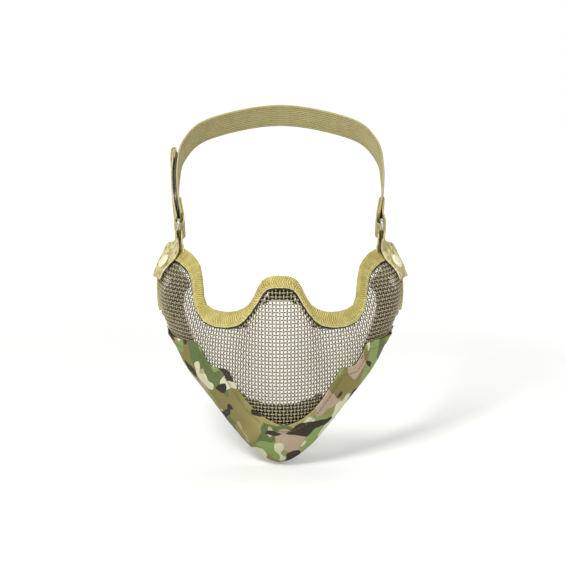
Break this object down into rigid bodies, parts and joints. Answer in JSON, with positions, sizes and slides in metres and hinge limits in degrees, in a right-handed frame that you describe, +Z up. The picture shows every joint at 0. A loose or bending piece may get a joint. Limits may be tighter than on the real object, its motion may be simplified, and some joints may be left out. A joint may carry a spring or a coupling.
{
  "type": "half-face mesh mask",
  "caption": "Half-face field mask: stamped wire-mesh shell with taped edge, camouflage jaw cover, foam pads and a hook-and-loop head strap on D-rings.",
  "frame": {"origin": "centre of the whole object's bounding box at rest; the D-rings' common axis, which the head strap swings on, lies 7.9 mm in front of it (-Y) and 23.9 mm above it", "axes": "+Z up, the face of the mask looks along -Y, +X is to the viewer's right when facing the mask"},
  "size_m": [0.1756, 0.219, 0.226],
  "materials": {
    "wire_mesh": "tan powder coat on woven steel wire",
    "khaki_tape": "woven nylon tape, khaki yellow",
    "camo_cloth": "printed camouflage cloth, matt",
    "black_foam": "cloth-faced black foam",
    "tab_webbing": "woven nylon webbing, khaki",
    "strap_webbing": "woven nylon webbing, olive khaki",
    "ribbed_elastic": "ribbed elastic, khaki",
    "hook_and_loop": "hook-and-loop pile, dark",
    "ring_steel": "plated steel wire",
    "rivet_paint": "cream paint, satin"
  },
  "bodies": {
    "mask": {"mesh_face_shell": "wire_mesh", "top_edge_binding": "khaki_tape", "rear_edge_binding_left": "khaki_tape", "rear_edge_binding_right": "khaki_tape", "jaw_cover": "camo_cloth", "nose_pad": "black_foam", "chin_pad": "black_foam", "cheek_pad_left": "black_foam", "cheek_pad_right": "black_foam", "jaw_pad_left": "black_foam", "jaw_pad_right": "black_foam", "side_pad_left": "black_foam", "side_pad_right": "black_foam", "strap_tab_left": "tab_webbing", "strap_tab_right": "tab_webbing", "tab_rivet_left": "rivet_paint", "tab_rivet_right": "rivet_paint", "rivet_washer_left": "ring_steel", "rivet_washer_right": "ring_steel"},
    "ring_left": {"d_ring_left": "ring_steel"},
    "ring_right": {"d_ring_right": "ring_steel"},
    "strap": {"head_strap_band": "ribbed_elastic", "strap_fold_left": "strap_webbing", "strap_fold_right": "strap_webbing", "strap_loop_fastener": "hook_and_loop"},
    "tail": {"strap_tail": "strap_webbing", "strap_hook_fastener": "hook_and_loop", "tail_end_fold": "strap_webbing"}
  },
  "joints": [
    {"name": "strap_swing", "type": "hinge", "parent": "mask", "child": "strap", "pos_m": [0, -0.00786, 0.02395], "axis": [1, 0, 0], "range_deg": [-15, 15]},
    {"name": "ring_left_tilt", "type": "hinge", "parent": "mask", "child": "ring_left", "pos_m": [-0.07, -0.00502, 0.026], "axis": [0, -0.5878, 0.809], "range_deg": [-6, 6]},
    {"name": "ring_right_tilt", "type": "hinge", "parent": "mask", "child": "ring_right", "pos_m": [0.07, -0.00502, 0.026], "axis": [0, -0.5878, 0.809], "range_deg": [-6, 6]},
    {"name": "tail_peel", "type": "hinge", "parent": "strap", "child": "tail", "pos_m": [-0.07345, 0.00566, 0.03376], "axis": [0, -0.5878, 0.809], "range_deg": [0, 105]}
  ]
}
